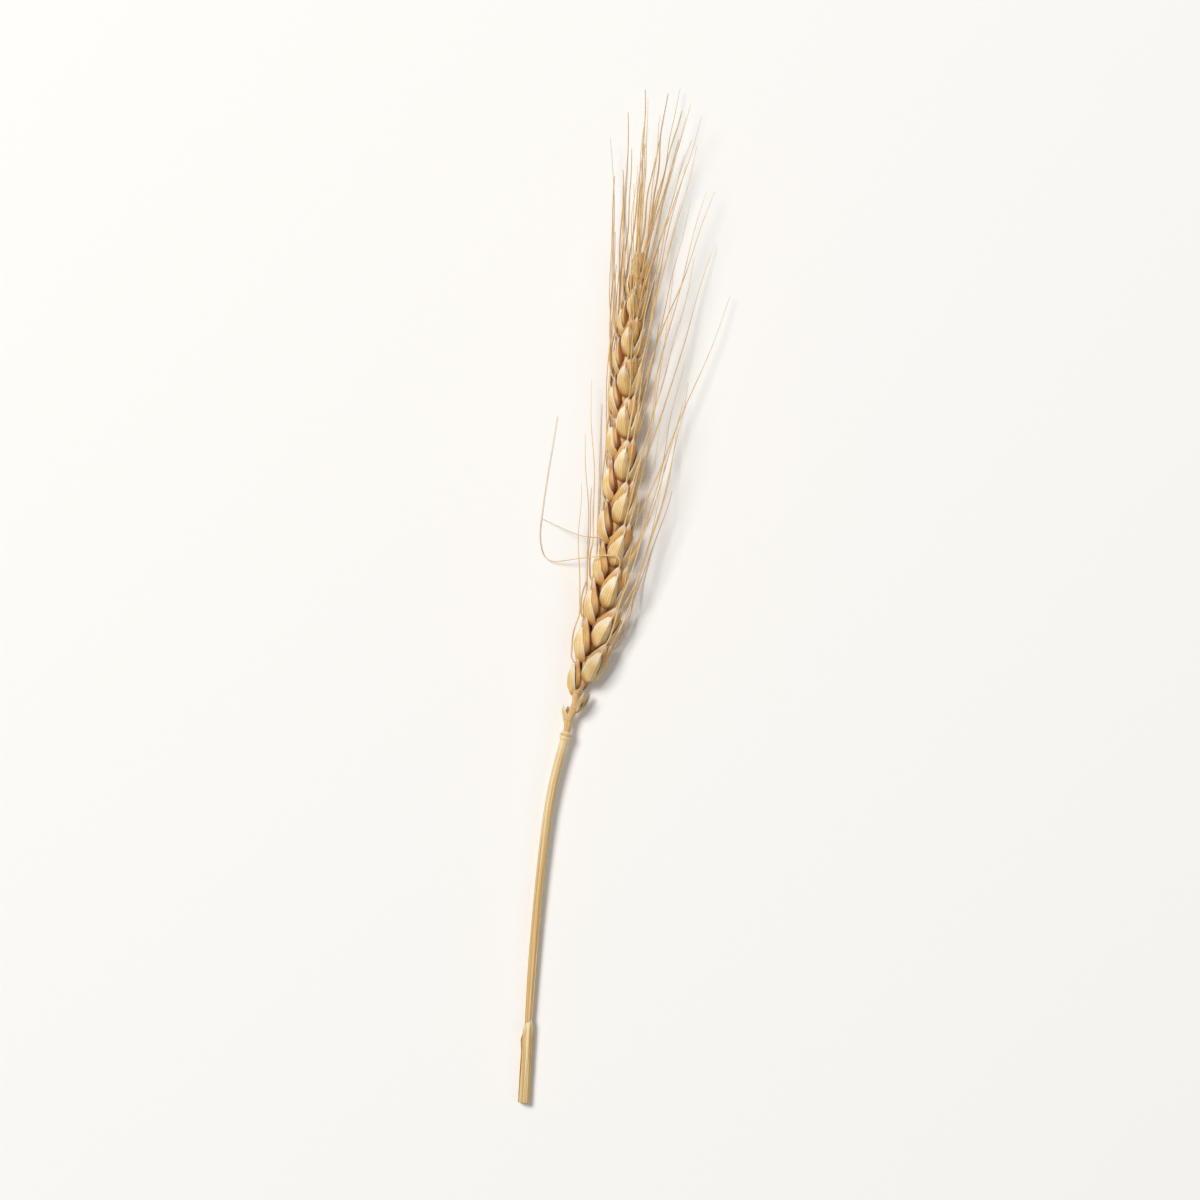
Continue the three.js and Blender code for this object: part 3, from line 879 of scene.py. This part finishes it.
def addSheath(pile):
    share = np.linspace(0, 1, sheath["columns"])[None, :]
    angle = np.radians(sheath["startsAt"] + sheath["wraps"] * share)
    v = np.linspace(0, 1, sheath["rows"])[:, None]
    lap = smooth(share, *sheath["lapOver"])
    inset = sheath["inset"]
    middle = lerp(sheath["innerRadius"] + inset, sheath["outerRadius"] - inset, lap)
    middle = middle + sheath["oval"] * np.sin(angle * 2 + 1) * (1 - lap)
    flare = sheath["mouthFlare"] * smooth(v, sheath["mouthFrom"], 1)
    middle = middle + flare * (sheath["underLap"] + lap)
    vein = sheath["veinHeight"] * np.cos(sheath["veins"] * angle)
    wave = v * sheath["rumpleAlong"] + share * sheath["rumpleRound"]
    rumple = sheath["rumple"] * sway(wave, sheath["rumpleSeed"])
    edge = np.minimum(1, sheath["edgeRamp"] * np.minimum(share, 1 - share) + sheath["edgeLeast"])
    ragged = sum(part * sway(share * turns, seed) for part, turns, seed in sheath["tears"])
    ragged = sheath["tear"] * ragged * smooth(share, 0, sheath["tearFrom"])
    notches = sum(deep * bell(share, at, wide) for deep, at, wide in sheath["notches"])
    slant = sheath["mouthSlant"] / 2 * np.cos(angle - sheath["mouthTurn"])
    mouth = sheath["length"] + slant + ragged - notches
    length = v * mouth + sheath["foot"]
    point, along, across, over = axisAt(length)
    thick = sheath["wall"] * edge * (1 - sheath["thinBy"] * smooth(v, sheath["thinFrom"], 1))

    def skin(offset):
        radius = middle + rumple + offset
        sideways, upward = radius * np.sin(angle), radius * np.cos(angle)
        return point + across * sideways[..., None] + over * upward[..., None]

    pile.tube(
        bothSkins(skin(thick / 2 + vein * edge), skin(-thick / 2)),
        along=v,
        around=bothSkins(share, share),
        inner=bothSkins(np.zeros_like(share), np.ones_like(share)),
    )


# finishes: the marks of the mesh say where on its piece a point lies

# in each look, warm lays the husks' own warmer inner tone with painted shade near the rachis, and
# deep lays painted shade at the husk roots
glumeLook = {
    **tones(pale="fae3ab", mid="e8bd72", tan="dda75e", deep="8e4a18", warm="cf8a3c", tip="fff8e4"),
    **tones(papery="fff9e8", line="b07a38", lining="cf9a58", fleck="85592f", grey="a58d66"),
    "tanShare": 0.35, "innerToneAndShadeShare": 0.6, "rootShadeShare": 0.45, "rootShadeReach": 0.2, "edgeShare": 0.8,
    "tipFrom": 0.62, "lines": 30.0, "lineShare": 0.36, "fleckShare": 0.35, "greyShare": 0.42,
}
lemmaLook = {
    **tones(pale="edc581", mid="d99a48", tan="c68036", deep="64300f", warm="bb6c24", tip="faf0d8"),
    **tones(papery="f8ecd0", line="7e4719", lining="b87230", fleck="6e431f", grey="a08660"),
    "tanShare": 0.4, "innerToneAndShadeShare": 0.9, "rootShadeShare": 0.75, "rootShadeReach": 0.5, "edgeShare": 0.5,
    "tipFrom": 0.74, "lines": 34.0, "lineShare": 0.6, "fleckShare": 0.3, "greyShare": 0.4,
}


def huskPaint(name, look):
    paint = Paint(name, **{
        "Subsurface Weight": 0.12, "Subsurface Scale": 0.0006, "Subsurface Radius": (1.0, 0.6, 0.3),
        "Specular IOR Level": 0.4,
    })
    across, along, inner = paint.marks("across", "along", "inner")
    tint, worn, shelter = paint.marks("tint", "worn", "shelter")
    streak = paint.noise((across * 5.0, along * 1.1, tint * 61.0), 1.7, 4.0, 0.6)
    cloud = paint.noise((across * 1.2, along * 2.4, tint * 47.0), 1.3, 2.0)
    fleck = paint.noise((across * 6.0, along * 14.0, tint * 31.0), 2.6, 2.0)
    grain = paint.noise((across * 16.0, along * 2.2, tint * 23.0), 2.4, 3.0)
    lines = ((across * look["lines"] + streak * 0.9).maths("SINE") * 0.5 + 0.5) ** 6.0
    # near the rachis: partly the husks' own warmer inner tone, partly painted shade
    sheltered = (shelter * (0.7 + streak * 0.6)).step(0.1, 0.9)
    # painted shade: darker towards each husk's root, where the husks overlap
    root = (1 - along.step(0.02, look["rootShadeReach"])) * (0.75 + streak * 0.4)
    edge = abs(across).step(0.72, 0.98) * along.step(0.15, 0.5)
    grey = worn * (0.35 + streak * 1.1) * along.step(0.1, 0.55)
    body = paint.coats(
        paint.mix((streak * 0.9 + cloud * 0.7 - 0.3).step(0.1, 0.95), look["mid"], look["pale"]),
        (tint.step(0.55, 1.0) * look["tanShare"], look["tan"]),
        # the husks' own warmer inner tone with painted shade near the rachis
        (sheltered * look["innerToneAndShadeShare"], look["warm"]),
        # painted shade at each husk's root
        (root * look["rootShadeShare"], look["deep"]),
        (edge * look["edgeShare"], look["papery"]),
        (along.step(look["tipFrom"], 0.95) * (0.5 + cloud * 0.5), look["tip"]),
        (lines * along.step(0.05, 0.3) * look["lineShare"], look["line"]),
        (inner * 0.85, look["lining"]),
        (grey * look["greyShare"], look["grey"]),
        (fleck.step(0.70, 0.78) * look["fleckShare"], look["fleck"]),
    )
    return paint.feed(
        Base_Color=body,
        Roughness=0.33 + streak * 0.16 + inner * 0.12 + lines * 0.06,
        Normal=paint.bump(grain + lines * 0.5, 0.45, 0.00012),
    )


awnLook = tones(mid="d8ad6e", pale="edd09a", tan="c3924f", tip="efdcb0")


def awnPaint(look):
    paint = Paint("dryAwn", **{"Specular IOR Level": 0.4})
    along, tint = paint.marks("along", "tint")
    patch = paint.noise((along * 9.0, tint * 43.0, 0.0), 1.6, 3.0)
    body = paint.coats(
        paint.mix(patch.step(0.3, 0.72), look["mid"], look["pale"]),
        (tint.step(0.5, 1.0) * 0.4, look["tan"]),
        (along.step(0.55, 1.0) * 0.35, look["tip"]),
    )
    return paint.feed(Base_Color=body, Roughness=0.4 + patch * 0.2)


rachisLook = tones(mid="cf9c58", pale="efd29c", dark="9c6630", ledge="f6e6bc", hair="f3e9cf")


def rachisPaint(look):
    paint = Paint("ridgedRachis", **{"Specular IOR Level": 0.3})
    along, order, around, onHair = paint.marks("along", "order", "around", "hair")
    streak = paint.noise((around * 34.0, along * 26.0, 3.0), 1.0, 4.0, 0.6)
    fromNode = (order * float(nodeCount)).maths("PINGPONG", 0.5)
    body = paint.coats(
        paint.mix(streak.step(0.32, 0.7), look["mid"], look["pale"]),
        (fromNode.step(0.14, 0.05) * (0.2 + streak * 0.5), look["dark"]),
        (fromNode.step(0.06, 0.02) * (0.25 + streak * 0.6), look["ledge"]),
        (onHair, look["hair"]),
    )
    return paint.feed(
        Base_Color=body,
        Roughness=0.45 + streak * 0.2,
        Normal=paint.bump(streak, 0.3, 0.00012),
    )


strawLook = {
    **tones(mid="cfa35c", pale="efd6a0", patch="e0c086", dark="b98440", light="fbedc6"),
    **tones(fine="936830", neck="f0dcaa", ring="b08048", pith="decda4"),
    "ringOver": (0.984, 0.988, 0.990, 0.994),
}


def strawPaint(look):
    paint = Paint("ribbedStraw", **{"Specular IOR Level": 0.45, "Coat Roughness": 0.35})
    along, around, hollow = paint.marks("along", "around", "hollow")
    turn = around * fullTurn
    right, up = turn.maths("SINE"), turn.maths("COSINE")
    streak = paint.noise((right * 9.0, up * 9.0, along * 6.0), 1.0, 4.0, 0.62)
    patch = paint.noise((right, up, along * 2.0), 2.6, 3.0)
    fine = paint.noise((right * 26.0, up * 26.0, along * 20.0), 1.0, 2.0)
    band = paint.noise((right * 3.4, up * 3.4, along * 1.6), 1.0, 2.0)
    ring = along.step(*look["ringOver"][:2]) * (1 - along.step(*look["ringOver"][2:]))
    body = paint.coats(
        paint.mix(streak.step(0.3, 0.72), look["mid"], look["pale"]),
        (patch.step(0.5, 0.75) * 0.5, look["patch"]),
        (band.step(0.5, 0.58) * 0.65, look["dark"]),
        ((1 - band).step(0.54, 0.62) * 0.7, look["light"]),
        (fine.step(0.58, 0.7) * 0.55, look["fine"]),
        (along.step(0.9, 0.985) * 0.6, look["neck"]),
        (ring * 0.55, look["ring"]),
        (hollow * 0.8, look["pith"]),
    )
    return paint.feed(
        Base_Color=body,
        Roughness=0.34 + streak * 0.2 + hollow * 0.2,
        Coat_Weight=0.3 * (1 - hollow),
        Normal=paint.bump(fine * 0.6 + streak, 0.25, 0.00010),
    )


sheathLook = {
    **tones(mid="cfa864", pale="f6e4b2", vein="b0803e", dark="a67636", light="fff0c8"),
    **tones(patch="c49a62", mouth="f4e6c0", spot="80603a", lining="e2c890"),
}


def sheathPaint(look):
    paint = Paint("dryLeaf", **{
        "Specular IOR Level": 0.3, "Subsurface Weight": 0.08, "Subsurface Scale": 0.0005,
    })
    along, around, inner = paint.marks("along", "around", "inner")
    streak = paint.noise((around * 44.0, along * 0.9, 5.0), 1.0, 4.0, 0.6)
    band = paint.noise((around * 26.0, along * 0.5, 2.0), 1.0, 1.0)
    patch = paint.noise((around * 5.0, along * 4.0, 9.0), 1.0, 3.0)
    vein = ((around * sheath["veinTurns"]).maths("SINE") * 0.5 + 0.5) ** 3.0
    body = paint.coats(
        paint.mix(streak.step(0.32, 0.68), look["mid"], look["pale"]),
        (vein * (0.3 + streak * 0.6), look["vein"]),
        (band.step(0.52, 0.6) * 0.6, look["dark"]),
        ((1 - band).step(0.56, 0.64) * 0.7, look["light"]),
        (patch.step(0.56, 0.74) * 0.5, look["patch"]),
        (along.step(0.88, 1.0) * 0.6, look["mouth"]),
        ((streak * patch).step(0.38, 0.46) * 0.3, look["spot"]),
        (inner * 0.5, look["lining"]),
    )
    return paint.feed(
        Base_Color=body,
        Roughness=0.5 + streak * 0.2,
        Normal=paint.bump(vein + streak * 0.6, 0.35, 0.00012),
    )


# build the pieces

glumePiles, lemmaPiles = ({"right": Pile(), "left": Pile()} for _ in range(2))
spikelets = [spikeletAt(index) for index in range(nodeCount)]
reliefs = []
for spikelet in spikelets:
    glumePile, lemmaPile = (piles[spikelet["rowName"]] for piles in (glumePiles, lemmaPiles))
    firstGlume, firstLemma = len(glumePile.points), len(lemmaPile.points)
    for hand in (-1, 1):
        addGlume(glumePile, huskAt(spikelet, glume, hand))
    hands = (-1, 0, 1) if spikelet["index"] >= ear["bare"] else ()
    spikelet["lemmas"] = {hand: huskAt(spikelet, lemma if hand else floret, hand) for hand in hands}
    for husk in spikelet["lemmas"].values():
        addLemma(lemmaPile, husk)
    own = glumePile.points[firstGlume:] + lemmaPile.points[firstLemma:]
    reliefs.append(reliefOf(np.concatenate(own)))
print("husks placed:", len(spikelets), "spikelets")

awnPile = Pile()
for index, spikelet in enumerate(spikelets):
    others = np.max(reliefs[:index] + reliefs[index + 1:], axis=0)
    for hand, husk in spikelet["lemmas"].items():
        seed = index * 3 + hand + 500
        route = awn["bentAside"].get((index, hand))
        if route:
            line = bentLine(husk, route)
        else:
            line = drapeAwn(awnLine(spikelet, husk, hand, seed), others)
        addAwn(awnPile, line, seed)

glumePaint = huskPaint("paleGlume", glumeLook)
lemmaPaint = huskPaint("warmLemma", lemmaLook)
for rowName in ("right", "left"):
    glumePiles[rowName].make(rowName + "Glumes", glumePaint, "head")
    lemmaPiles[rowName].make(rowName + "Lemmas", lemmaPaint, "head")
awnPile.make("awns", awnPaint(awnLook), "head")

Pile(addRachis, addHairs).make("rachis", rachisPaint(rachisLook), "head")
Pile(addStraw).make("culm", strawPaint(strawLook), "straw")
Pile(addSheath).make("sheath", sheathPaint(sheathLook), "leaf_sheath")

# floor, light and camera

studio = {
    "pixelsPerMm": 4.5, "collarPixel": (567, 731), "frame": 1200,
    "height": 900, "subjectHeight": 4, "sensor": 36, "clip": (0.01, 50),
    "floorSize": 6,  # metres, like the clip and the lights
    "floor": {"Base Color": tone("f8f8f8"), "Roughness": 1.0, "Specular IOR Level": 0.0},
    "world": 0.26, "worldColour": (1.0, 0.985, 0.96, 1.0),
    "lights": {  # place, watts, size and colour
        "key": ((-1.2, 1.0, 2.5), 72.0, 1.0, (1.0, 0.975, 0.935)),
        "fill": ((1.9, -0.6, 2.0), 10.0, 2.0, (1.0, 0.97, 0.93)),
    },
}


def addFloor():
    half = studio["floorSize"] / 2
    mesh = bpy.data.meshes.new("floor")
    corners = [(-half, -half, 0), (half, -half, 0), (half, half, 0), (-half, half, 0)]
    mesh.from_pydata(corners, [], [(0, 1, 2, 3)])
    mesh.materials.append(Paint("paleFloor", **studio["floor"]).material)
    floor = intoScene("floor", mesh)


def addLight(name, place, watts, size, colour):
    light = bpy.data.lights.new(name, "AREA")
    light.energy, light.size, light.color = watts, size, colour
    lamp = intoScene(name, light)
    lamp.location = place
    aim = -np.array(place)
    lamp.rotation_euler = (math.acos(-aim[2] / np.linalg.norm(aim)), 0, math.atan2(-aim[0], aim[1]))


def addWorld():
    world = bpy.data.worlds.new("studio")
    world.use_nodes = True
    background = world.node_tree.nodes["Background"]
    background.inputs["Color"].default_value = studio["worldColour"]
    background.inputs["Strength"].default_value = studio["world"]
    bpy.context.scene.world = world


def addCamera():
    scale, middle = studio["pixelsPerMm"], studio["frame"] / 2
    collar = axisLine["collarAt"]
    x = collar[0] + (middle - studio["collarPixel"][0]) / scale
    y = collar[1] + (studio["collarPixel"][1] - middle) / scale
    data = bpy.data.cameras.new("camera")
    data.sensor_width = studio["sensor"]
    distance = studio["height"] - studio["subjectHeight"]
    data.lens = studio["sensor"] * distance / (studio["frame"] / scale)
    data.clip_start, data.clip_end = studio["clip"]
    camera = intoScene("camera", data)
    camera.location = (x * mm, y * mm, studio["height"] * mm)
    bpy.context.scene.camera = camera


addFloor()
addWorld()
for lightName, lightValues in studio["lights"].items():
    addLight(lightName, *lightValues)
addCamera()
bpy.context.scene.view_settings.view_transform = "Standard"
print("stage, lights and camera set")
